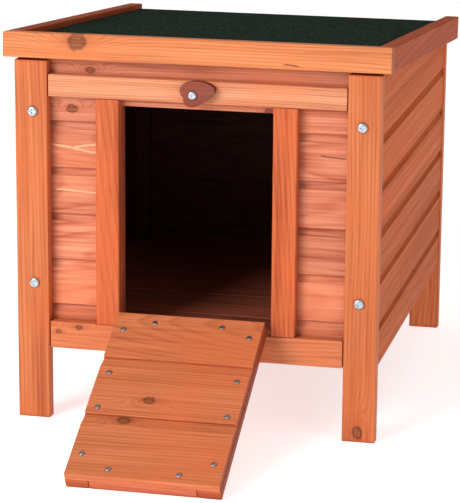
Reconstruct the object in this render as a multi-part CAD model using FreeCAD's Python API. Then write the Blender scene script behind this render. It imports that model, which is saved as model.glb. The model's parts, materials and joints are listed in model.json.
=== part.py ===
"""Small animal hutch of stained pine with a sloping felt roof that lifts, a drop-down ramp
that closes the doorway, and a wooden turn button that holds the ramp shut.

Millimetres. +X is the hutch's right seen from the front, the front faces -Y and +Z is up.
Pieces are drawn with the front faces of the front legs at y = 0 and the feet at z = 0.
Every piece is moved along Y at the end, so that the origin is the centre of the base of the
whole object with its ramp down.
"""
import FreeCAD, Part
import math
import os

V = FreeCAD.Vector
X_AXIS = V(1, 0, 0)
Y_AXIS = V(0, 1, 0)
Z_AXIS = V(0, 0, 1)
ORIGIN = V(0, 0, 0)
SIDES = {"left": -1, "right": 1}

# ---- overall sizes
BODY_WIDTH = 399.0          # over the outer edges of the legs
BODY_DEPTH = 484.0          # front leg face to rear leg face
GAP = 0.4                   # air between parts that move against each other
FIT = 0.1                   # joinery play between fixed boards
EDGE_ROUND = 1.4            # eased edges of planed timber
SMALL_ROUND = 0.8           # eased edges of the thin boards and battens inside
SCREW_PLAY = 0.05           # screw holes are this much wider in radius than the shanks

# ---- legs
LEG_WIDTH = 36.0
LEG_THICK = 14.0
LEG_FRONT_TOP = 399.5
LEG_REAR_TOP = 363.4

# ---- lap siding
SIDING_THICK = 12.0
SIDING_SIDE_RECESS = 1.5    # side boards lie this far inside the legs' outer edges
SIDING_BOTTOM = 81.0
SIDING_JOINTS = [128.0, 179.0, 230.0, 281.0, 332.0]
COVE_HEIGHT = 9.0
COVE_DEPTH = 4.5
COVE_SAG = 0.27             # hollow of a cove as part of its depth
TONGUE_HEIGHT = 6.0
TONGUE_THICK = 5.5
LIP_CHAMFER = 0.8
TOP_ROW_REACH = 440.0       # top row boards start this high and are trimmed to the roof

# ---- trim on the front panel
TRIM_RECESS = 1.0           # trim faces lie this far behind the leg faces
TRIM_END_GAP = 0.8          # from the ends of the rails to the legs
TOP_RAIL_Z = (360.5, 384.5)
BOTTOM_RAIL_Z = (81.0, 111.0)
DOOR_HALF = 84.0
DOOR_TOP = 352.0
DOOR_CUT_DROP = 0.5         # siding is cut this far below the top of the bottom rail
DOOR_BATTEN_WIDTH = 26.0
BACK_RAIL_HEIGHT = 26.6
BACK_RAIL_RISE = 0.6        # top of the back rail above the rear legs

# ---- floor and inner battens
BEARER_WIDTH = 18.0
BEARER_HEIGHT = 10.0
BEARER_LIFT = 1.0           # bearers lie this far above the bottom of the siding
FLOOR_THICK = 8.0
FLOOR_BOARDS = 5
FLOOR_BOARD_GAP = 1.0
CORNER_BATTEN = 18.0
FRONT_BATTEN_DROP = 3.0     # front corner battens end this far below the front legs

# ---- roof lid, drawn flat and then tilted
ROOF_WIDTH = 420.0
ROOF_LENGTH = 511.0
ROOF_FRONT_Y = -8.0
ROOF_FRONT_Z = 402.9
ROOF_FALL = 39.4            # the rear edge lies this much lower than the front edge
ROOF_EDGE_HEIGHT = 27.2
ROOF_EDGE_THICK = 16.5
FELT_DROP = 6.4
FELT_THICK = 1.6
DECK_THICK = 9.0
REAR_BATTEN_DEPTH = 17.0
ROOF_TILT = math.degrees(math.asin(ROOF_FALL / ROOF_LENGTH))

# ---- ramp
RAMP_HALF = 81.5
RAMP_LENGTH = 236.0
RAMP_FRAME_THICK = 12.0
RAMP_FRAME_WIDTH = 25.0
PLANK_THICK = 8.0
PLANK_JOINTS = [66.8, 149.5]
PLANK_COVE_HEIGHT = 15.0
PLANK_COVE_DEPTH = 3.0
PLANK_INSET = 0.8           # planks lie this far inside the edges of their frame
RAMP_HINGE_GAP = 2.0        # from the pin to the near end of the ramp
RAMP_SCREW_X = 69.0
RAMP_SCREW_S = [25.5, 90.5, 141.0, 207.0]
CROSSBAR_SCREW_X = 37.0
CROSSBAR_SCREW_S = [13.0, 225.0]

# ---- butt hinges
HINGE_WIDTH = 30.0
HINGE_LEAF = 14.0
HINGE_SHEET = 1.2
KNUCKLE_R = 2.5
PIN_R = 1.2
PIN_PLAY = 0.05
PIN_HEAD_R = 2.0
PIN_HEAD = 0.6
KNUCKLE_SLOT = 0.2
KNUCKLE_CLEAR = 0.5         # sheet of a leaf starts this far from its knuckles
STRAP_OVERLAP = 1.0
HINGE_RECESS = (2.6, 0.7)   # size and depth of the cross in a hinge screw
HINGE_SCREW_X = 7.5
HINGE_SCREW_OUT = 9.0
HINGE_SCREW_R = 1.3
HINGE_SCREW_HEAD_R = 2.5
HINGE_SCREW_LENGTH = 8.0
RAMP_HINGE_X = 42.0
ROOF_HINGE_X = 110.0

# ---- screws
PAN_ROUND = 0.75            # rounding of a pan head as part of its height
PAN_RECESS = (1.05, 0.55)   # cross in a pan head: size in head radii, depth in head heights
POINT_RADII = 1.6           # length of the point in shank radii
POINT_TIP_R = 0.2
LEG_SCREW_X = 179.5
LEG_SCREW_Z = {"front": (154.0, 344.0), "rear": (154.0, 330.0)}
LEG_SCREW_HEAD_R = 5.6
LEG_SCREW_HEAD = 3.2
LEG_SCREW_R = 2.5
LEG_SCREW_LENGTH = 40.0
PLANK_SCREW_HEAD_R = 3.0
PLANK_SCREW_HEAD = 1.4
PLANK_SCREW_R = 1.5
PLANK_SCREW_LENGTH = 17.0

# ---- turn button
BUTTON_X = -1.0
BUTTON_Z = 371.0
BUTTON_THICK = 8.0
WASHER_R = 5.0
WASHER_THICK = 1.2          # between the rail and the button
BUTTON_BORE_R = 2.05
BUTTON_SCREW_R = 2.0
BUTTON_SCREW_HEAD_R = 4.6
BUTTON_SCREW_HEAD = 2.6
BUTTON_SCREW_LENGTH = 30.0

# ---- places that follow from the sizes
half_width = BODY_WIDTH / 2
leg_inner = half_width - LEG_WIDTH
siding_outer = half_width - SIDING_SIDE_RECESS
siding_inner = siding_outer - SIDING_THICK
front_siding_back = LEG_THICK + SIDING_THICK
rear_siding_face = BODY_DEPTH - LEG_THICK
rear_siding_front = rear_siding_face - SIDING_THICK
floor_bottom = SIDING_BOTTOM + BEARER_LIFT + BEARER_HEIGHT
floor_top = floor_bottom + FLOOR_THICK
tilt = math.radians(ROOF_TILT)
deck_bottom = ROOF_EDGE_HEIGHT - FELT_DROP - FELT_THICK - DECK_THICK
ramp_pin_y = TRIM_RECESS - KNUCKLE_R
ramp_pin_z = BOTTOM_RAIL_Z[1] + 1.0
ramp_reach = RAMP_HINGE_GAP + RAMP_LENGTH
plank_half = RAMP_HALF - PLANK_INSET


def roof_plane_z(y):
    """Height of the underside of the roof edge boards at depth y."""
    return ROOF_FRONT_Z - (y - ROOF_FRONT_Y) * math.tan(tilt)


def ramp_slope():
    """Angle below the horizontal at which the ramp's eased toe just meets the ground."""
    angle = 0.5
    for _ in range(30):
        eased = EDGE_ROUND * (math.sin(angle) + math.cos(angle) - 1)
        angle = math.asin((ramp_pin_z + KNUCKLE_R * math.cos(angle) + eased) / ramp_reach)
    return angle


RAMP_OPEN = 90.0 + math.degrees(ramp_slope())
roof_pin_y = BODY_DEPTH + KNUCKLE_R
roof_pin_z = roof_plane_z(roof_pin_y) - KNUCKLE_R / math.cos(tilt)


# ---------------------------------------------------------------- basic shapes
def box(x, y, z):
    """Plain box between pairs of x, y and z."""
    return Part.makeBox(x[1] - x[0], y[1] - y[0], z[1] - z[0], V(x[0], y[0], z[0]))


def timber(x, y, z, radius=EDGE_ROUND):
    """Planed bar with all its edges eased."""
    bar = box(x, y, z)
    return bar.makeFillet(radius, bar.Edges)


def rod(radius, start, direction, length):
    return Part.makeCylinder(radius, length, start, direction)


def cross_recess(size, depth):
    """Cross-shaped driver recess that reaches down from z = 0."""
    arm = size / 4
    one = box((-size / 2, size / 2), (-arm / 2, arm / 2), (-depth, 1))
    two = box((-arm / 2, arm / 2), (-size / 2, size / 2), (-depth, 1))
    return one.fuse(two)


def pan_screw(head_r, head, shank_r, length):
    """Pan-head cross-recess screw along Z: head above z = 0, point at z = -length."""
    cap = Part.makeCylinder(head_r, head)
    top_edges = [e for e in cap.Edges if e.BoundBox.ZMin > head - 0.01]
    cap = cap.makeFillet(head * PAN_ROUND, top_edges)
    point = shank_r * POINT_RADII
    shank = Part.makeCylinder(shank_r, length - point, V(0, 0, point - length))
    tip = Part.makeCone(POINT_TIP_R, shank_r, point, V(0, 0, -length))
    recess = cross_recess(head_r * PAN_RECESS[0], head * PAN_RECESS[1])
    recess.translate(V(0, 0, head))
    return cap.fuse(shank).fuse(tip).removeSplitter().cut(recess)


def flat_screw(length):
    """Countersunk hinge screw along Z: flush head at z = 0."""
    head = Part.makeCone(HINGE_SCREW_R, HINGE_SCREW_HEAD_R, HINGE_SHEET, V(0, 0, -HINGE_SHEET))
    shank = Part.makeCylinder(HINGE_SCREW_R, length - HINGE_SHEET, V(0, 0, -length))
    return head.fuse(shank).removeSplitter().cut(cross_recess(*HINGE_RECESS))


def aim(shape, place, direction):
    """Turn a screw drawn along +Z so that its head looks along direction, then place it."""
    turned = shape.copy()
    turned.Placement = FreeCAD.Placement(place, FreeCAD.Rotation(Z_AXIS, direction))
    return turned


def drill(shape, holes):
    for hole in holes:
        shape = shape.cut(hole)
    return shape


def tilt_roof(shape):
    """Move a lid piece from the flat lid's frame to its place on the hutch."""
    tilted = shape.copy()
    tilted.rotate(ORIGIN, X_AXIS, -ROOF_TILT)
    tilted.translate(V(0, ROOF_FRONT_Y, ROOF_FRONT_Z))
    return tilted


def cut_above_roof(shape, height):
    """Trim a wall board parallel to the roof, at a height measured from the lid's underside."""
    return shape.cut(tilt_roof(box((-300, 300), (-100, 700), (height, height + 200))))


# ---------------------------------------------------------------- lap siding
def lap_board(bottom, top, length, thick=SIDING_THICK, cove=(COVE_HEIGHT, COVE_DEPTH),
              rebated=True, coved=True):
    """Lap board along +Y: outer face at x = thick, inner face at x = 0.

    rebated: the lower edge covers the tongue of the board below.
    coved: the upper edge has a cove on its face and a tongue behind the board above.
    """
    high, deep = cove
    tongue = thick * TONGUE_THICK / SIDING_THICK
    low = bottom + FIT
    points = []
    if rebated:
        step = bottom + TONGUE_HEIGHT + FIT
        points += [V(0, 0, step), V(tongue + FIT, 0, step), V(tongue + FIT, 0, low)]
    else:
        points += [V(0, 0, low)]
    points += [V(thick - LIP_CHAMFER, 0, low), V(thick, 0, low + LIP_CHAMFER)]
    if not coved:
        points += [V(thick, 0, top), V(0, 0, top)]
        return Part.Face(Part.makePolygon(points + points[:1])).extrude(V(0, length, 0))
    start = V(thick, 0, top - high)
    end = V(thick - deep, 0, top)
    chord = end - start
    inward = V(-chord.z, 0, chord.x).normalize()
    middle = (start + end) * 0.5 + inward * (COVE_SAG * deep)
    points += [start]
    after = [end, V(tongue, 0, top), V(tongue, 0, top + TONGUE_HEIGHT), V(0, 0, top + TONGUE_HEIGHT)]
    after += points[:1]
    edges = Part.makePolygon(points).Edges
    edges += [Part.Arc(start, middle, end).toShape()]
    edges += Part.makePolygon(after).Edges
    return Part.Face(Part.Wire(edges)).extrude(V(0, length, 0))


def side_panel_board(sign, bottom, top, rebated, coved):
    """One board of a side panel, between the front and the rear legs."""
    length = BODY_DEPTH - 2 * LEG_THICK
    board = lap_board(bottom, top, length, rebated=rebated, coved=coved)
    board.translate(V(siding_inner, LEG_THICK, 0))
    if sign < 0:
        board = board.mirror(ORIGIN, X_AXIS)
    return board


def front_board(x, bottom, top, rebated, coved):
    """One board of the front panel between two x places, its face towards -Y."""
    board = lap_board(bottom, top, x[1] - x[0], rebated=rebated, coved=coved)
    board.rotate(ORIGIN, Z_AXIS, -90)
    board.translate(V(x[0], front_siding_back, 0))
    return board


def back_board(x, bottom, top, rebated, coved):
    """One board of the back panel between two x places, its face towards +Y."""
    board = lap_board(bottom, top, x[1] - x[0], rebated=rebated, coved=coved)
    board.rotate(ORIGIN, Z_AXIS, 90)
    board.translate(V(x[1], rear_siding_front, 0))
    return board


# ---------------------------------------------------------------- hinges
# A leaf is drawn hanging down from a pin at the origin, with its back face towards +Y.
def screw_spots():
    """Places of a leaf's two screws: x, and distance from the pin."""
    return [(-HINGE_SCREW_X, HINGE_SCREW_OUT), (HINGE_SCREW_X, HINGE_SCREW_OUT)]


def hinge_leaf(middle, bore_r):
    """Sheet leaf with its knuckles: the middle one, or the two outer ones."""
    half = HINGE_WIDTH / 2
    third = HINGE_WIDTH / 6
    back = (KNUCKLE_R - HINGE_SHEET, KNUCKLE_R)
    if middle:
        spans = [(-third + KNUCKLE_SLOT, third - KNUCKLE_SLOT)]
    else:
        spans = [(-half, -third), (third, half)]
    leaf = box((-half, half), back, (-HINGE_LEAF, -KNUCKLE_R - KNUCKLE_CLEAR))
    for x0, x1 in spans:
        strap = box((x0, x1), back, (-KNUCKLE_R - STRAP_OVERLAP, 0))
        ring = rod(KNUCKLE_R, V(x0, 0, 0), X_AXIS, x1 - x0)
        bore = rod(bore_r, V(x0 - 1, 0, 0), X_AXIS, x1 - x0 + 2)
        leaf = leaf.fuse(strap).fuse(ring).cut(bore)
    leaf = leaf.removeSplitter()
    for x, out in screw_spots():
        seat = Part.makeCone(HINGE_SCREW_R, HINGE_SCREW_HEAD_R, HINGE_SHEET)
        leaf = leaf.cut(aim(seat, V(x, KNUCKLE_R, -out), V(0, -1, 0)))
    return leaf


def leaf_screws():
    """Screws of one leaf, their heads flush with its front face."""
    screw = flat_screw(HINGE_SCREW_LENGTH)
    front = KNUCKLE_R - HINGE_SHEET
    return [aim(screw, V(x, front, -out), V(0, -1, 0)) for x, out in screw_spots()]


def leaf_holes():
    """Holes for one leaf's screws in the timber behind it."""
    depth = HINGE_SCREW_LENGTH - HINGE_SHEET
    radius = HINGE_SCREW_R + SCREW_PLAY
    return [rod(radius, V(x, KNUCKLE_R, -out), Y_AXIS, depth) for x, out in screw_spots()]


def hinge_pin():
    half = HINGE_WIDTH / 2
    pin = rod(PIN_R, V(-half, 0, 0), X_AXIS, HINGE_WIDTH)
    for end in (-half - PIN_HEAD, half):
        pin = pin.fuse(rod(PIN_HEAD_R, V(end, 0, 0), X_AXIS, PIN_HEAD))
    return pin.removeSplitter()


def pose(shape, flip, turn, place):
    """Mirror a hinge piece across flip, turn it about its pin and put the pin in place."""
    moved = shape.mirror(ORIGIN, flip) if flip else shape.copy()
    moved.rotate(ORIGIN, X_AXIS, turn)
    moved.translate(place)
    return moved


def hinge_pair(half_spacing, y, z, fixed_pose, moving_pose):
    """Two butt hinges on one axis. A pose is the mirror plane and the turn of a leaf."""
    pair = {"leaves": [], "pins": [], "screws": [], "holes": []}
    pair.update({"moving_" + key: [] for key in ("leaves", "screws", "holes")})
    for x in (-half_spacing, half_spacing):
        place = V(x, y, z)
        pair["pins"].append(pose(hinge_pin(), None, 0, place))
        pair["leaves"].append(pose(hinge_leaf(False, PIN_R), *fixed_pose, place))
        moving = hinge_leaf(True, PIN_R + PIN_PLAY)
        pair["moving_leaves"].append(pose(moving, *moving_pose, place))
        pair["screws"] += [pose(screw, *fixed_pose, place) for screw in leaf_screws()]
        pair["moving_screws"] += [pose(screw, *moving_pose, place) for screw in leaf_screws()]
        pair["holes"] += [pose(hole, *fixed_pose, place) for hole in leaf_holes()]
        pair["moving_holes"] += [pose(hole, *moving_pose, place) for hole in leaf_holes()]
    return pair


ramp_hinges = hinge_pair(RAMP_HINGE_X, ramp_pin_y, ramp_pin_z, (None, 0), (Z_AXIS, RAMP_OPEN))
roof_hinges = hinge_pair(ROOF_HINGE_X, roof_pin_y, roof_pin_z, (Y_AXIS, 0), (None, 90 - ROOF_TILT))

nodes = {}


# ---------------------------------------------------------------- leg screws
leg_screws = []
leg_holes = []
for sign in SIDES.values():
    for end, face, look in (("front", 0, -1), ("rear", BODY_DEPTH, 1)):
        for z in LEG_SCREW_Z[end]:
            place = V(sign * LEG_SCREW_X, face, z)
            screw = pan_screw(LEG_SCREW_HEAD_R, LEG_SCREW_HEAD, LEG_SCREW_R, LEG_SCREW_LENGTH)
            leg_screws.append(aim(screw, place, V(0, look, 0)))
            hole = rod(LEG_SCREW_R + SCREW_PLAY, place, V(0, -look, 0), LEG_SCREW_LENGTH)
            leg_holes.append(hole)
nodes["leg_screws"] = leg_screws


# ---------------------------------------------------------------- legs
for side, sign in SIDES.items():
    x = sorted((sign * leg_inner, sign * half_width))
    front = timber(x, (0, LEG_THICK), (0, LEG_FRONT_TOP))
    rear = timber(x, (rear_siding_face, BODY_DEPTH), (0, LEG_REAR_TOP))
    nodes["leg_front_" + side] = [drill(front, leg_holes)]
    nodes["leg_rear_" + side] = [drill(rear, leg_holes)]


# ---------------------------------------------------------------- turn button, its screw and washer
def button_outline():
    """Rounded heart with a notch on its left, seen from the front about its screw.

    Each arc runs from one corner point through a middle point to the next corner point.
    """
    corners = [(-9.8, -2.8), (-10.4, 11.0), (20.8, 10.6), (21.6, 1.2), (6.0, -11.0), (-7.4, -11.0)]
    middles = [(-13.9, 5.0), (5.0, 15.0), (23.8, 6.2), (14.4, -5.8), (-0.8, -13.0), (-9.8, -7.0)]
    edges = []
    for start, middle, end in zip(corners, middles, corners[1:] + corners[:1]):
        points = [V(x, 0, z) for x, z in (start, middle, end)]
        edges.append(Part.Arc(*points).toShape())
    return Part.Wire(edges)


button_back = TRIM_RECESS - WASHER_THICK - GAP
button_front = button_back - BUTTON_THICK
button_screw_seat = button_front - GAP
button_axis = V(BUTTON_X, button_screw_seat, BUTTON_Z)
button = Part.Face(button_outline()).extrude(V(0, -BUTTON_THICK, 0))
button.translate(V(BUTTON_X, button_back, BUTTON_Z))
nodes["turn_button"] = [button.cut(rod(BUTTON_BORE_R, button_axis, Y_AXIS, 2 * BUTTON_THICK))]
button_screw = pan_screw(BUTTON_SCREW_HEAD_R, BUTTON_SCREW_HEAD, BUTTON_SCREW_R, BUTTON_SCREW_LENGTH)
washer_place = V(BUTTON_X, TRIM_RECESS - WASHER_THICK, BUTTON_Z)
washer = rod(WASHER_R, washer_place, Y_AXIS, WASHER_THICK)
washer = washer.cut(rod(BUTTON_BORE_R, washer_place, Y_AXIS, WASHER_THICK))
nodes["turn_button_screw"] = [aim(button_screw, button_axis, V(0, -1, 0)), washer]
button_hole = rod(BUTTON_BORE_R, button_axis, Y_AXIS, BUTTON_SCREW_LENGTH)


# ---------------------------------------------------------------- trim of the front and the back
trim_x = (-leg_inner + TRIM_END_GAP, leg_inner - TRIM_END_GAP)
trim_y = (TRIM_RECESS, LEG_THICK)
top_rail = timber(trim_x, trim_y, TOP_RAIL_Z)
nodes["front_top_rail"] = [top_rail.cut(button_hole)]
bottom_rail = timber(trim_x, trim_y, BOTTOM_RAIL_Z)
nodes["front_bottom_rail"] = [drill(bottom_rail, ramp_hinges["holes"])]
for side, sign in SIDES.items():
    x = sorted((sign * DOOR_HALF, sign * (DOOR_HALF + DOOR_BATTEN_WIDTH)))
    z = (BOTTOM_RAIL_Z[1] + FIT, TOP_RAIL_Z[0] - FIT)
    nodes["door_batten_" + side] = [timber(x, trim_y, z)]
back_rail_top = LEG_REAR_TOP + BACK_RAIL_RISE
back_rail_z = (back_rail_top - BACK_RAIL_HEIGHT, back_rail_top)
back_rail = timber(trim_x, (rear_siding_face, BODY_DEPTH), back_rail_z)
nodes["back_top_rail"] = [drill(back_rail, roof_hinges["holes"])]


# ---------------------------------------------------------------- lap siding
joints = [SIDING_BOTTOM] + SIDING_JOINTS
rows = list(zip(joints, joints[1:]))
for side, sign in SIDES.items():
    for number, (bottom, top) in enumerate(rows, 1):
        board = side_panel_board(sign, bottom, top, number > 1, True)
        nodes["side_board_%s_%d" % (side, number)] = [board]
    top_board = side_panel_board(sign, joints[-1], TOP_ROW_REACH, True, False)
    nodes["side_board_%s_%d" % (side, len(joints))] = [cut_above_roof(top_board, -GAP)]

across = (-siding_inner + FIT, siding_inner - FIT)
doorway = box((-DOOR_HALF, DOOR_HALF), (LEG_THICK - 1, front_siding_back + 1),
              (BOTTOM_RAIL_Z[1] - DOOR_CUT_DROP, DOOR_TOP))
lowest = front_board(across, *rows[0], False, True)
nodes["front_bottom_board"] = [drill(lowest.cut(doorway), leg_holes)]
top_row = front_board(across, joints[-1], TOP_ROW_REACH, True, False)
highest = cut_above_roof(top_row, deck_bottom - GAP)
nodes["front_top_board"] = [drill(highest.cut(doorway), leg_holes + [button_hole])]
for side, sign in SIDES.items():
    x = sorted((sign * DOOR_HALF, sign * across[1]))
    boards = [front_board(x, bottom, top, True, True) for bottom, top in rows[1:]]
    nodes["front_boards_" + side] = [drill(board, leg_holes) for board in boards]

back_boards = [back_board(across, bottom, top, number > 0, True)
               for number, (bottom, top) in enumerate(rows)]
back_top = back_board(across, joints[-1], TOP_ROW_REACH, True, False)
back_boards.append(cut_above_roof(back_top, deck_bottom - GAP))
nodes["back_boards"] = [drill(board, leg_holes) for board in back_boards]


# ---------------------------------------------------------------- floor and inner battens
inside_y = (front_siding_back + FIT, rear_siding_front - FIT)
board_pitch = (inside_y[1] - inside_y[0] + FLOOR_BOARD_GAP) / FLOOR_BOARDS
floor_boards = []
for index in range(FLOOR_BOARDS):
    start = inside_y[0] + index * board_pitch
    floor_boards.append(timber(across, (start, start + board_pitch - FLOOR_BOARD_GAP),
                               (floor_bottom, floor_top), SMALL_ROUND))
nodes["floor_boards"] = floor_boards
for side, sign in SIDES.items():
    x = sorted((sign * (siding_inner - FIT), sign * (siding_inner - FIT - BEARER_WIDTH)))
    bearer_z = (floor_bottom - BEARER_HEIGHT, floor_bottom)
    nodes["floor_bearer_" + side] = [timber(x, inside_y, bearer_z, SMALL_ROUND)]
    for end, y0, top in (("front", inside_y[0], LEG_FRONT_TOP - FRONT_BATTEN_DROP),
                         ("rear", inside_y[1] - CORNER_BATTEN, LEG_REAR_TOP)):
        x = sorted((sign * (siding_inner - FIT), sign * (siding_inner - FIT - CORNER_BATTEN)))
        batten = timber(x, (y0, y0 + CORNER_BATTEN), (floor_top, top), SMALL_ROUND)
        nodes["corner_batten_%s_%s" % (end, side)] = [drill(batten, leg_holes)]


# ---------------------------------------------------------------- roof lid
roof_half = ROOF_WIDTH / 2
rail_inner = roof_half - ROOF_EDGE_THICK
edge_z = (0, ROOF_EDGE_HEIGHT)
inner_x = (-rail_inner + FIT, rail_inner - FIT)
behind_fascia = (ROOF_EDGE_THICK + FIT, ROOF_LENGTH)
lid = {"roof_fascia": timber((-roof_half, roof_half), (0, ROOF_EDGE_THICK), edge_z)}
for side, sign in SIDES.items():
    x = sorted((sign * rail_inner, sign * roof_half))
    lid["roof_rail_" + side] = timber(x, behind_fascia, edge_z)
deck_top = deck_bottom + DECK_THICK
lid["roof_deck"] = box(inner_x, behind_fascia, (deck_bottom, deck_top))
lid["roof_felt"] = box(inner_x, behind_fascia, (deck_top, deck_top + FELT_THICK))
lid["roof_rear_batten"] = timber(inner_x, (ROOF_LENGTH - REAR_BATTEN_DEPTH, ROOF_LENGTH),
                                 (0, deck_bottom), SMALL_ROUND)
for name, piece in lid.items():
    nodes[name] = [drill(tilt_roof(piece), roof_hinges["moving_holes"])]


# ---------------------------------------------------------------- ramp
# Drawn closed and upright with the pin at the origin: its frame faces -Y, its planks +Y.
frame_y = (KNUCKLE_R, KNUCKLE_R + RAMP_FRAME_THICK)
ramp_z = (RAMP_HINGE_GAP, RAMP_HINGE_GAP + RAMP_LENGTH)
walk_y = frame_y[1] + PLANK_THICK


def plank(near, far, rebated, coved):
    """Plank between two distances from the ramp's near end, its face towards +Y."""
    board = lap_board(-far, -near, 2 * plank_half, PLANK_THICK,
                      (PLANK_COVE_HEIGHT, PLANK_COVE_DEPTH), rebated, coved)
    board = board.mirror(ORIGIN, Z_AXIS)
    board.rotate(ORIGIN, Z_AXIS, 90)
    board.translate(V(plank_half, frame_y[1], RAMP_HINGE_GAP))
    return board


def lower_ramp(shape):
    """Swing a ramp piece from closed to resting on the ground."""
    return pose(shape, None, RAMP_OPEN, V(0, ramp_pin_y, ramp_pin_z))


screw_places = [(x, s) for s in RAMP_SCREW_S for x in (-RAMP_SCREW_X, RAMP_SCREW_X)]
screw_places += [(x, s) for s in CROSSBAR_SCREW_S for x in (-CROSSBAR_SCREW_X, CROSSBAR_SCREW_X)]
plank_screw = pan_screw(PLANK_SCREW_HEAD_R, PLANK_SCREW_HEAD, PLANK_SCREW_R, PLANK_SCREW_LENGTH)
plank_screws = []
plank_holes = []
for x, s in screw_places:
    place = V(x, walk_y, RAMP_HINGE_GAP + s)
    plank_screws.append(aim(plank_screw, place, Y_AXIS))
    plank_holes.append(rod(PLANK_SCREW_R + SCREW_PLAY, place, V(0, -1, 0), PLANK_SCREW_LENGTH))

ramp = {}
for side, sign in SIDES.items():
    x = sorted((sign * (RAMP_HALF - RAMP_FRAME_WIDTH), sign * RAMP_HALF))
    ramp["ramp_stile_" + side] = timber(x, frame_y, ramp_z)
bar_x = (-RAMP_HALF + RAMP_FRAME_WIDTH + FIT, RAMP_HALF - RAMP_FRAME_WIDTH - FIT)
ramp["ramp_crossbar_top"] = timber(bar_x, frame_y, (ramp_z[0], ramp_z[0] + RAMP_FRAME_WIDTH))
ramp["ramp_crossbar_toe"] = timber(bar_x, frame_y, (ramp_z[1] - RAMP_FRAME_WIDTH, ramp_z[1]))
ramp["ramp_plank_1"] = plank(0, PLANK_JOINTS[0], True, False)
ramp["ramp_plank_2"] = plank(PLANK_JOINTS[0], PLANK_JOINTS[1], True, True)
ramp["ramp_plank_3"] = plank(PLANK_JOINTS[1], RAMP_LENGTH, False, True)
for name, piece in ramp.items():
    lowered = lower_ramp(drill(piece, plank_holes))
    nodes[name] = [drill(lowered, ramp_hinges["moving_holes"])]
nodes["ramp_screws"] = [lower_ramp(screw) for screw in plank_screws]


# ---------------------------------------------------------------- hinge nodes
for name, pair in (("ramp", ramp_hinges), ("roof", roof_hinges)):
    nodes[name + "_hinge_fixed_leaves"] = pair["leaves"]
    nodes[name + "_hinge_moving_leaves"] = pair["moving_leaves"]
    nodes[name + "_hinge_pins"] = pair["pins"]
    nodes[name + "_hinge_fixed_screws"] = pair["screws"]
    nodes[name + "_hinge_moving_screws"] = pair["moving_screws"]


# ---------------------------------------------------------------- origin and files
everything = Part.makeCompound([solid for solids in nodes.values() for solid in solids])
bounds = everything.optimalBoundingBox()
shift = V(0, -(bounds.YMin + bounds.YMax) / 2, 0)
os.makedirs("parts", exist_ok=True)
for name, solids in nodes.items():
    shape = solids[0] if len(solids) == 1 else Part.makeCompound(solids)
    shape.translate(shift)
    shape.exportStep("parts/%s.step" % name)

print("nodes", len(nodes), "solids", len(everything.Solids), "valid", everything.isValid())
print("size", bounds.XLength, bounds.YLength, bounds.ZMin, bounds.ZMax)
print("shift along Y", shift.y)
print("ramp pin y, z", ramp_pin_y + shift.y, ramp_pin_z, "closes by", RAMP_OPEN)
print("roof pin y, z", roof_pin_y + shift.y, roof_pin_z)
print("button x, z", BUTTON_X, BUTTON_Z, "back at y", button_back + shift.y)
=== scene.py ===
"""Looks of the stained pine hutch: materials on the CAD pieces, floor, light and camera."""
import json
import math
import bpy
from mathutils import Euler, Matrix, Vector


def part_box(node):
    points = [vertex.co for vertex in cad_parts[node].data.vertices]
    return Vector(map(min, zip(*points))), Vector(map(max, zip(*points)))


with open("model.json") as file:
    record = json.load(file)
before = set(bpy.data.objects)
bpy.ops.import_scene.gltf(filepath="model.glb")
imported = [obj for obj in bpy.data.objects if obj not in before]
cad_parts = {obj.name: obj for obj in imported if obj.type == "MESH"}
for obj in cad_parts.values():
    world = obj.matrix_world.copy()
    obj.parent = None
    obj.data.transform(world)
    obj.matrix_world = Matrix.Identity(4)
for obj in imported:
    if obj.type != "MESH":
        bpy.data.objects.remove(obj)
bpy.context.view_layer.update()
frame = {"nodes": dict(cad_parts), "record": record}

# ---- places, in metres
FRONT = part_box("leg_front_left")[0][1]      # the plane of the front legs' faces
ramp_joint = next(j for j in frame["record"]["behaviour"]["joints"] if j["name"] == "ramp_hinge")
RAMP_PIN = Vector(ramp_joint["pos_m"])
RAMP_SLOPE = math.radians(ramp_joint["range_deg"][1] - 90)
FIRST_JOINT = 0.128                         # height of the siding's lowest joint
ROW_PITCH = 0.051                           # siding exposure
ROW_START = FIRST_JOINT - 2 * ROW_PITCH     # rows are counted from below the siding
ABOVE_ROOF = 0.5
INNER_SKIN = 0.0004                         # the painted inside shade reaches this far past its faces
top_board_low, top_board_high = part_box("front_top_board")
INNER_LOW = Vector((top_board_low[0], top_board_high[1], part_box("side_board_left_1")[0][2]))
INNER_HIGH = Vector((top_board_high[0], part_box("back_boards")[0][1], ABOVE_ROOF))


def linear(red, green, blue):
    """Colour from screen values of 0 to 255 to the linear values that shaders use."""
    return tuple(((c / 255) / 12.92 if c <= 10 else ((c / 255 + 0.055) / 1.055) ** 2.4)
                 for c in (red, green, blue)) + (1.0,)


def tinted(colour, red, green, blue):
    """A linear colour with each channel scaled."""
    return tuple(a * b for a, b in zip(colour, (red, green, blue, 1.0)))


# ---- stains: a pale and a dark tone each; the right side's and the inside's tones also carry painted shade
LEG = (linear(214, 124, 75), linear(168, 74, 36))
BATTEN = (linear(216, 116, 68), linear(166, 66, 31))
SIDING = (linear(226, 148, 114), linear(172, 76, 48))
TRIM = (linear(230, 158, 117), linear(186, 100, 64))
SILL = (linear(208, 128, 86), linear(162, 74, 43))
EDGE = (linear(222, 141, 89), linear(172, 84, 44))
RAIL = (linear(178, 80, 34), linear(118, 42, 16))
RAMP = (linear(220, 128, 82), linear(150, 64, 36))
TOE = (linear(206, 104, 56), linear(150, 58, 28))
TOE_BAR = (linear(220, 126, 88), linear(172, 70, 42))
# right side boards: stain darker than the left side's tone, as painted shade of that side
SHADED_SIDE = (linear(212, 104, 44), linear(160, 64, 24))
BUTTON = (linear(156, 80, 60), linear(104, 44, 33))
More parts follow.
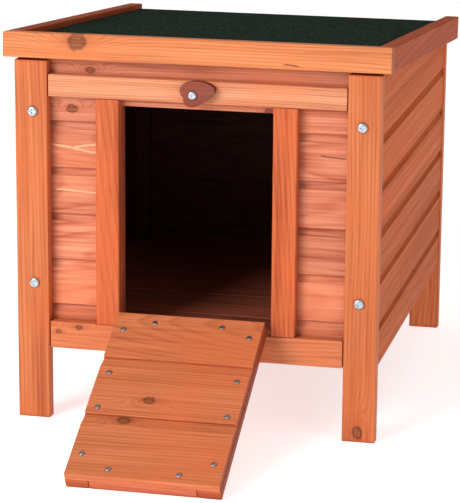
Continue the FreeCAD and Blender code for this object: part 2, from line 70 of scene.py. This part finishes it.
# bare inner wood, made dark as painted shade of the dim cabin
BARE_IN_SHADE = (linear(104, 56, 40), linear(62, 30, 24))
FLOOR = (linear(176, 94, 70), linear(116, 54, 40))
KNOT = (linear(160, 88, 46), linear(94, 44, 25))
# ---- single tones: marks in the wood, and a painted shade for side faces
KNOT_RIM = linear(62, 26, 18)
# painted shade on the button's side faces
BUTTON_SIDE_SHADE = linear(96, 36, 20)
CRACK = linear(58, 26, 18)
SAPWOOD = linear(246, 186, 140)


# ---------------------------------------------------------------- shader helper
class Graph:
    """Short names for building one material's nodes."""

    def __init__(self, name):
        self.material = bpy.data.materials.new(name)
        self.material.use_nodes = True
        self.tree = self.material.node_tree
        self.shader = self.tree.nodes["Principled BSDF"]

    def link(self, source, target):
        """Feed a socket from another node, or set its constant."""
        if hasattr(source, "is_output"):
            self.tree.links.new(source, target)
        else:
            target.default_value = source

    def surface(self, inputs):
        """Feed the material's shader."""
        for key, value in inputs.items():
            self.link(value, self.shader.inputs[key])

    def node(self, kind, inputs=None, **settings):
        made = self.tree.nodes.new("ShaderNode" + kind)
        for key, value in settings.items():
            setattr(made, key, value)
        for key, value in (inputs or {}).items():
            self.link(value, made.inputs[key])
        return made

    def math(self, operation, first, second=0.0):
        return self.node("Math", {0: first, 1: second}, operation=operation).outputs[0]

    def add(self, first, second):
        return self.math("ADD", first, second)

    def times(self, first, second):
        return self.math("MULTIPLY", first, second)

    def centred(self, value):
        """A value of 0 to 1, moved to lie about 0."""
        return self.math("SUBTRACT", value, 0.5)

    def magnitude(self, value):
        return self.math("ABSOLUTE", value)

    def square_sum(self, first, second):
        return self.add(self.times(first, first), self.times(second, second))

    def blend(self, factor, first, second, mode="MIX"):
        made = self.node("Mix", {0: factor, 6: first, 7: second}, data_type="RGBA", blend_type=mode)
        return made.outputs[2]

    def layer(self, under, over, where, strength):
        """Lay one colour over another where a mask is set."""
        return self.blend(self.times(where, strength), under, over)

    def steps(self, value, stops):
        """Grey ramp through (position, grey) stops."""
        made = self.node("ValToRGB", {0: value})
        band = made.color_ramp
        while len(band.elements) < len(stops):
            band.elements.new(0.5)
        for element, (place, grey) in zip(band.elements, stops):
            element.position = place
            element.color = (grey, grey, grey, 1.0)
        return made.outputs[0]

    def noise(self, vector, scale, detail=2.0, rough=0.5):
        made = self.node("TexNoise", {"Vector": vector, "Scale": scale, "Detail": detail,
                                      "Roughness": rough})
        return made.outputs[0]

    def smooth(self, value, low, high):
        """0 at low and 1 at high, which may be the smaller of the two."""
        made = self.node("MapRange", {0: value, 1: low, 2: high}, interpolation_type="SMOOTHSTEP")
        return made.outputs[0]

    def bump(self, height, strength, distance):
        made = self.node("Bump", {"Height": height, "Strength": strength, "Distance": distance})
        self.link(made.outputs[0], self.shader.inputs["Normal"])


# ---------------------------------------------------------------- pine
# the axes along the fibres, across them and into the board
GRAIN = {"x": ("X", "Z", "Y"), "y": ("Y", "Z", "X"), "z": ("Z", "X", "Y"), "ramp": ("X", "Y", "Z")}
LOT_STEP = 3.7              # from one row of siding to the next
LOT_SHIFT = 0.37            # shift along the fibres for each lot
PITH_DEPTH = 0.05           # metres that the leaning pith line rises and falls
PITH_SPREAD = 0.05          # metres within which it lies sideways
SWAY_ACROSS = 0.009         # metres
SWAY_DEEP = 0.012           # metres
SWAY_RINGS = 1.2            # rings
RING_STEPS = ((0.0, 0.0), (0.5, 0.2), (0.84, 1.0), (1.0, 0.0))
RINGS_SHARE, FINE_SHARE, STREAKS_SHARE = 0.36, 0.34, 0.30
DARKEST_LOT, TONE_SPREAD = 0.84, 0.22
KNOT_WIDTH = 0.8            # a knot's width as a share of its length
KNOT_RAGGED = 1.1           # knot radii
RIM_AT, RIM_HALF = 0.95, 0.42   # knot radii
BULGE_DRAWN = 0.4           # rings bend further along the fibres than across them
BULGE_FALL, BULGE_RINGS = -0.35, 4.5
HALO_FALL = -1.1
MARK_FADE = 0.004           # metres over which a mark's end fades
MARK_WANDER = 0.0016        # metres
CREASE_SHADE_REACH = 0.007        # metres of the painted crease shade


class Board(Graph):
    """Graph of one piece of pine, with its coordinates along, across and into the wood.

    The lot number shifts the noises and draws the tone. With rows, each row of siding is a lot.
    """

    def __init__(self, name, grain, seed, rows, stretch):
        super().__init__(name)
        self.stretch = stretch
        coordinates = self.node("TexCoord")
        self.normal = coordinates.outputs["Normal"]
        self.frame_place = self.place = coordinates.outputs["Object"]
        if grain == "ramp":
            moved = self.node("Mapping", {"Vector": self.frame_place, "Location": -RAMP_PIN})
            turned = self.node("Mapping", {"Vector": moved.outputs[0],
                                           "Rotation": (-RAMP_SLOPE, 0.0, 0.0)})
            self.place = turned.outputs[0]
        split = self.node("SeparateXYZ", {0: self.place})
        self.along, self.across, self.depth = (split.outputs[axis] for axis in GRAIN[grain])
        self.lot = float(seed)
        middle = 0.0
        if rows:
            above_start = self.add(split.outputs["Z"], -ROW_START)
            row = self.math("FLOOR", self.times(above_start, 1 / ROW_PITCH))
            self.lot = self.add(self.times(row, LOT_STEP), float(seed))
            middle = self.add(self.times(row, ROW_PITCH), ROW_START + ROW_PITCH / 2)
        self.lot_shift = self.times(self.lot, LOT_SHIFT)
        self.tone = self.node("TexWhiteNoise", {"W": self.lot}, noise_dimensions="1D").outputs["Value"]
        # the noises and rings follow the sway of the fibres, which is itself drawn on straight ones
        self.side = self.across
        self.sway = self.centred(self.fibre_noise(2.2, 14.0, detail=2.0, scale=1.6))
        off_centre = self.times(self.centred(self.tone), PITH_SPREAD)
        swayed = self.add(self.add(self.across, self.times(self.sway, SWAY_ACROSS)), off_centre)
        self.side = self.math("SUBTRACT", swayed, middle)
        self.ragged = self.centred(self.noise(self.place, 170.0, detail=3.0, rough=0.6))

    def fibre_noise(self, lengthwise, crosswise, detail, rough=0.5, scale=1.0):
        """A noise drawn out along the fibres, different in every lot."""
        drawn = self.node("CombineXYZ", {
            0: self.add(self.times(self.along, self.stretch * lengthwise), self.lot_shift),
            1: self.add(self.times(self.side, crosswise), self.lot),
            2: self.times(self.depth, crosswise)})
        return self.noise(drawn.outputs[0], scale, detail, rough)

    def ring_phase(self, ring, tilt):
        """Growth rings counted from a pith line that leans a little."""
        leaning = self.times(self.add(self.along, self.lot_shift), tilt)
        behind = self.add(self.math("PINGPONG", leaning, PITH_DEPTH),
                          self.add(self.times(self.sway, SWAY_DEEP), self.depth))
        radius = self.math("SQRT", self.square_sum(self.side, behind))
        return self.add(self.times(radius, 1 / ring), self.times(self.sway, SWAY_RINGS))

    def grow_knots(self, knots, phase):
        """Bend the rings about each knot. Gives the phase and masks of heart, rim and halo."""
        heart = rim = halo = 0.0
        for knot_along, knot_across, size in knots:
            near_u = self.times(self.add(self.along, -knot_along), KNOT_WIDTH / size)
            near_v = self.times(self.add(self.across, -knot_across), 1.0 / size)
            reach = self.math("SQRT", self.square_sum(near_u, near_v))
            reach = self.add(reach, self.times(self.ragged, KNOT_RAGGED))
            pull = self.square_sum(self.times(near_u, BULGE_DRAWN), near_v)
            bulge = self.math("EXPONENT", self.times(pull, BULGE_FALL))
            phase = self.add(phase, self.times(bulge, BULGE_RINGS))
            from_rim = self.magnitude(self.add(reach, -RIM_AT))
            heart = self.math("MAXIMUM", heart, self.smooth(reach, low=1.15, high=0.6))
            rim = self.math("MAXIMUM", rim, self.smooth(from_rim, low=RIM_HALF, high=0.0))
            halo = self.math("MAXIMUM", halo, self.math("EXPONENT", self.times(pull, HALO_FALL)))
        return phase, heart, rim, halo

    def lay_mark(self, colour, mark):
        """A thin streak of another tone between two points of the face."""
        start_u, start_v, end_u, end_v, half, tint = mark
        reach = abs(end_u - start_u) / 2
        from_middle = self.magnitude(self.add(self.along, -(start_u + end_u) / 2))
        run = self.smooth(from_middle, low=reach, high=reach - MARK_FADE)
        rise = (end_v - start_v) / (end_u - start_u)
        line = self.add(self.times(self.add(self.along, -start_u), rise), start_v)
        wander = self.times(self.ragged, MARK_WANDER)
        off = self.magnitude(self.add(self.math("SUBTRACT", self.across, line), wander))
        stroke = self.smooth(off, low=half, high=half / 3)
        return self.layer(colour, tint, self.times(stroke, run), strength=0.7)

    def paint_inside_shade(self, colour, amount):
        """Painted shade: a dark bare-wood tone wherever a board lies within the cabin's inner faces.
        """
        axes = self.node("SeparateXYZ", {0: self.frame_place})
        within = 1.0
        for axis, (low, high) in enumerate(zip(INNER_LOW, INNER_HIGH)):
            above = self.math("GREATER_THAN", axes.outputs[axis], low - INNER_SKIN)
            below = self.math("LESS_THAN", axes.outputs[axis], high + INNER_SKIN)
            within = self.times(within, self.times(above, below))
        return self.blend(within, colour, self.blend(amount, *BARE_IN_SHADE))


def pine(name, stain, grain, seed, ring=0.0032, tilt=0.05, stretch=1.0, contrast=1.15, sheen=0.2,
         knots=(), marks=(), rows=False, inside=False, soaked_sides=False):
    """Stained pine. grain is a key of GRAIN, and seed sets the lot.

    ring is the rings' spacing and tilt the lean of their pith line, so that a face shows straight
    lines, long arches and loops about its knots. knots are (along, across, radius). marks are
    thin streaks (along, across, along, across, half width, colour). rows makes each row of siding
    a lot. inside gives the cabin's inner side a dark bare-wood tone as painted shade. soaked_sides
    darkens every face that does not look to the front or back, as painted shade.
    """
    pale, dark = stain
    warm = tinted(pale, 1.0, 0.74, 0.58)
    deep = tinted(dark, 0.72, 0.58, 0.52)
    board = Board(name, grain, seed, rows, stretch)
    phase, heart, rim, halo = board.grow_knots(knots, board.ring_phase(ring, tilt))
    rings = board.steps(board.math("FRACT", phase), RING_STEPS)
    # fibres, streaks and broad stain patches
    fibres = board.fibre_noise(9.0, 700.0, detail=3.0, rough=0.65)
    fine = board.smooth(board.fibre_noise(5.0, 260.0, detail=4.0, rough=0.6), low=0.38, high=0.68)
    streaks = board.smooth(board.fibre_noise(2.6, 62.0, detail=3.0), low=0.38, high=0.7)
    seams = board.smooth(board.fibre_noise(1.7, 38.0, detail=2.0), low=0.62, high=0.78)
    patches = board.smooth(board.noise(board.place, 13.0, detail=3.0), low=0.42, high=0.68)
    amount = board.add(board.times(rings, RINGS_SHARE),
                       board.add(board.times(fine, FINE_SHARE), board.times(streaks, STREAKS_SHARE)))
    amount = board.times(amount, contrast)
    colour = board.blend(amount, pale, dark)
    colour = board.layer(colour, warm, patches, strength=0.55)
    colour = board.layer(colour, deep, board.smooth(fibres, low=0.52, high=0.8), strength=0.5)
    colour = board.layer(colour, deep, seams, strength=0.45)
    shade = board.add(DARKEST_LOT, board.times(board.tone, TONE_SPREAD))
    grey = board.node("CombineColor", {0: shade, 1: shade, 2: shade}).outputs[0]
    colour = board.blend(1.0, colour, grey, "MULTIPLY")
    for mark in marks:
        colour = board.lay_mark(colour, mark)
    if knots:
        knot_grain = board.add(board.times(rings, 0.5), board.times(fine, 0.5))
        colour = board.layer(colour, deep, halo, strength=0.5)
        colour = board.layer(colour, board.blend(knot_grain, *KNOT), heart, strength=0.9)
        colour = board.layer(colour, KNOT_RIM, rim, strength=0.6)
    # cut ends soak up more stain; where asked, all side faces are darkened as painted shade
    facing = board.node("SeparateXYZ", {0: board.normal})
    if soaked_sides:
        side_shade_mask = board.smooth(board.magnitude(facing.outputs["Y"]), low=0.85, high=0.35)
        colour = board.layer(colour, BUTTON_SIDE_SHADE, side_shade_mask, strength=0.75)
    else:
        ends = board.smooth(board.magnitude(facing.outputs[GRAIN[grain][0]]), low=0.6, high=0.9)
        colour = board.layer(colour, deep, ends, strength=0.75)
    # painted shade on the cabin's inner faces
    if inside:
        colour = board.paint_inside_shade(colour, amount)
    # painted shade: darker in the corners and grooves, by ambient occlusion
    crease_shade = board.node("AmbientOcclusion", {"Distance": CREASE_SHADE_REACH}, samples=6).outputs["AO"]
    colour = board.layer(colour, deep, board.smooth(crease_shade, low=0.85, high=0.3), strength=0.65)
    dull = board.add(board.times(fibres, 0.3), board.add(0.34, board.times(fine, 0.12)))
    board.surface({"Base Color": colour, "Roughness": dull, "Specular IOR Level": sheen})
    relief = board.add(board.times(fibres, 0.6),
                       board.add(board.times(rings, -0.35), board.times(heart, -0.5)))
    board.bump(relief, strength=0.45, distance=0.0007)
    return board.material


# ---------------------------------------------------------------- other materials
def felt():
    """Mineral felt: fine dark green granules with pale specks on bitumen."""
    g = Graph("mineral_felt")
    place = g.node("TexCoord").outputs["Object"]
    grit = g.node("TexVoronoi", {"Vector": place, "Scale": 620.0})
    fine = g.noise(place, 420.0, detail=3.0, rough=0.7)
    patches = g.smooth(g.noise(place, 24.0, detail=3.0), low=0.4, high=0.7)
    chance = g.node("SeparateColor", {0: grit.outputs["Color"]}).outputs[0]
    specks = g.math("GREATER_THAN", chance, 0.93)
    colour = g.blend(g.smooth(fine, low=0.3, high=0.75), linear(3, 14, 7), linear(28, 50, 34))
    colour = g.layer(colour, linear(10, 26, 19), patches, strength=0.35)
    colour = g.layer(colour, linear(96, 118, 98), specks, strength=0.42)
    g.surface({"Base Color": colour, "Roughness": 0.92, "Specular IOR Level": 0.06})
    g.bump(g.add(g.times(grit.outputs["Distance"], -0.6), fine), strength=0.7, distance=0.0009)
    return g.material


def zinc(name, dull, bright):
    """Zinc plate with dull patches and scuffs."""
    g = Graph(name)
    place = g.node("TexCoord").outputs["Object"]
    patches = g.noise(place, 300.0, detail=3.0)
    scuffs = g.noise(place, 900.0)
    g.surface({"Base Color": g.blend(patches, dull, bright), "Metallic": 1.0,
               "Roughness": g.add(0.2, g.times(scuffs, 0.25))})
    g.bump(g.noise(place, 2500.0), strength=0.12, distance=0.0001)
    return g.material


# ---------------------------------------------------------------- what each piece is made of
def paint(node, material):
    """Give a CAD node one material."""
    slots = frame["nodes"][node].data.materials
    slots.clear()
    slots.append(material)


def stained(node, stain, grain, seed, **more):
    """Give a CAD node pine of its own."""
    paint(node, pine(node + "_pine", stain, grain, seed, **more))


LONG_GRAIN = {"stretch": 0.3, "sheen": 0.04}    # drawn-out noises and little gloss

stained("leg_front_left", LEG, "z", 11, ring=0.004, tilt=0.03)
stained("leg_front_right", LEG, "z", 23, ring=0.0036, tilt=0.04, knots=[(0.011, 0.1805, 0.005)])
stained("leg_rear_left", LEG, "z", 31)
stained("leg_rear_right", LEG, "z", 37)
stained("front_top_rail", TRIM, "x", 41, ring=0.003)
stained("front_bottom_rail", SILL, "x", 43,
        knots=[(-0.153, 0.100, 0.0024), (-0.130, 0.106, 0.0028)])
stained("door_batten_left", BATTEN, "z", 47, ring=0.005, tilt=0.12)
stained("door_batten_right", BATTEN, "z", 53, ring=0.003)
stained("back_top_rail", TRIM, "x", 59)
stained("front_top_board", SIDING, "x", 61, inside=True,
        knots=[(-0.119, 0.389, 0.0034), (-0.1395, 0.346, 0.0044), (0.0765, 0.354, 0.0028)])
stained("front_bottom_board", SIDING, "x", 67, inside=True)
stained("front_boards_left", SIDING, "x", 71, rows=True, inside=True, marks=[
    (-0.168, 0.3065, -0.139, 0.3035, 0.0016, SAPWOOD),
    (-0.141, 0.3035, -0.110, 0.3085, 0.0014, SAPWOOD),
    (-0.141, 0.3030, -0.110, 0.2985, 0.0014, SAPWOOD),
    (-0.160, 0.2570, -0.110, 0.2545, 0.0012, SAPWOOD)])
stained("front_boards_right", SIDING, "x", 73, rows=True, inside=True, tilt=0.03,
        marks=[(0.131, 0.3090, 0.162, 0.3065, 0.0011, CRACK)])
stained("back_boards", SIDING, "x", 79, rows=True, inside=True)
# the right side boards' tone carries painted shade; the left side has the legs' stain
for side, start, side_tone in (("left", 83, LEG), ("right", 97, SHADED_SIDE)):
    for number in range(1, 7):
        stained("side_board_%s_%d" % (side, number), side_tone, "y", start + 2 * number,
                inside=True, ring=0.005, contrast=0.6, **LONG_GRAIN)
    # bearers and corner battens sit inside: their dark bare tone is painted shade
    stained("floor_bearer_" + side, BARE_IN_SHADE, "y", start + 20)
    for end in ("front", "rear"):
        stained("corner_batten_%s_%s" % (end, side), BARE_IN_SHADE, "z", start + 23)
stained("floor_boards", FLOOR, "x", 131)
# roof deck underside: its dark bare tone is painted shade of the inside
stained("roof_deck", BARE_IN_SHADE, "y", 137)
stained("roof_rear_batten", EDGE, "x", 139)
stained("roof_fascia", EDGE, "x", 149, ring=0.0036, knots=[(-0.128, 0.422, 0.0074)],
        marks=[(0.094, 0.4085, 0.115, 0.4065, 0.0012, CRACK)])
stained("roof_rail_left", RAIL, "y", 151, contrast=0.7, **LONG_GRAIN)
stained("roof_rail_right", RAIL, "y", 157, contrast=0.7, **LONG_GRAIN)
for number, knots in ((1, ()), (2, ((-0.017, -0.128, 0.0045),)), (3, ((-0.038, -0.1565, 0.005),))):
    stained("ramp_plank_%d" % number, RAMP, "ramp", 163 + 4 * number, ring=0.0042, tilt=0.09,
            contrast=0.85, knots=knots)
for side in ("left", "right"):
    stained("ramp_stile_" + side, TOE, "ramp", 181)
stained("ramp_crossbar_top", SIDING, "x", 191)
stained("ramp_crossbar_toe", TOE_BAR, "x", 193)
# the button's side faces get painted shade
stained("turn_button", BUTTON, "x", 197, ring=0.0015, soaked_sides=True)
paint("roof_felt", felt())
zinc_plate = zinc("zinc_plate", linear(150, 160, 172), linear(214, 220, 226))
for node in frame["nodes"]:
    if "screw" in node or "hinge" in node:
        paint(node, zinc_plate)
paint("ramp_screws", zinc("dull_zinc", linear(124, 116, 116), linear(186, 180, 182)))


# ---------------------------------------------------------------- eased button rim
RIM_WIDTH = 0.0011          # metres
SHARP_EDGE = 50             # degrees


def ease_rim(obj):
    """Round the sharp edges of an object."""
    weld = obj.modifiers.new("weld", "WELD")
    weld.merge_threshold = 0.00002
    rim = obj.modifiers.new("rim", "BEVEL")
    rim.width = RIM_WIDTH
    rim.segments = 3
    rim.limit_method = "ANGLE"
    rim.angle_limit = math.radians(SHARP_EDGE)


ease_rim(frame["nodes"]["turn_button"])


# ---------------------------------------------------------------- floor, light and camera
FLOOR_REACH = 6.0           # metres
FLOOR_GLOW = 0.62           # lifts the pale floor to a white backdrop
WORLD_GLOW = 0.4
LIT_PLACE = (0.0, 0.05, 0.22)
CAMERA_PLACE = (0.5913, FRONT - 2.4021, 0.8176)
CAMERA_YAW, CAMERA_PITCH, CAMERA_ROLL = 12.95, -14.01, 0.46     # degrees
CAMERA_LENS = 186.3         # mm


def floor():
    """Wide pale ground that glows a little."""
    mesh = bpy.data.meshes.new("floor")
    reach = FLOOR_REACH
    corners = [(-reach, -reach, 0), (reach, -reach, 0), (reach, reach, 0), (-reach, reach, 0)]
    mesh.from_pydata(corners, [], [(0, 1, 2, 3)])
    obj = bpy.data.objects.new("floor", mesh)
    bpy.context.scene.collection.objects.link(obj)
    g = Graph("pale_floor")
    g.surface({"Base Color": (0.9, 0.9, 0.9, 1.0), "Emission Color": (1.0, 1.0, 1.0, 1.0),
               "Emission Strength": FLOOR_GLOW, "Roughness": 0.8})
    mesh.materials.append(g.material)


def area_light(name, place, size, power):
    """Square soft light that looks at the hutch."""
    data = bpy.data.lights.new(name, "AREA")
    data.size = size
    data.energy = power
    lamp = bpy.data.objects.new(name, data)
    lamp.location = place
    lamp.rotation_euler = (Vector(LIT_PLACE) - Vector(place)).to_track_quat("-Z", "Y").to_euler()
    bpy.context.scene.collection.objects.link(lamp)


def surroundings():
    """Even white light from all sides."""
    world = bpy.data.worlds.new("studio")
    world.use_nodes = True
    background = world.node_tree.nodes["Background"]
    background.inputs["Color"].default_value = (1.0, 1.0, 1.0, 1.0)
    background.inputs["Strength"].default_value = WORLD_GLOW
    bpy.context.scene.world = world


def camera():
    """Long lens a little to the right of the front and above it."""
    data = bpy.data.cameras.new("camera")
    data.sensor_fit = "HORIZONTAL"
    data.sensor_width = 36.0
    data.lens = CAMERA_LENS
    data.clip_end = 30.0
    obj = bpy.data.objects.new("camera", data)
    obj.location = CAMERA_PLACE
    aim = Euler((math.radians(90) + math.radians(CAMERA_PITCH), 0.0, math.radians(CAMERA_YAW)), "XYZ")
    roll = Euler((0.0, 0.0, math.radians(CAMERA_ROLL)), "XYZ")
    obj.rotation_euler = (aim.to_matrix() @ roll.to_matrix()).to_euler()
    bpy.context.scene.collection.objects.link(obj)
    bpy.context.scene.camera = obj


floor()
area_light("key", (-1.3, FRONT - 2.3, 1.5), size=1.3, power=66.0)
area_light("fill", (1.9, FRONT - 1.6, 1.2), size=1.8, power=8.0)
area_light("top", (0.0, 0.2, 2.6), size=2.0, power=4.0)
surroundings()
camera()
bpy.context.scene.view_settings.view_transform = "Standard"
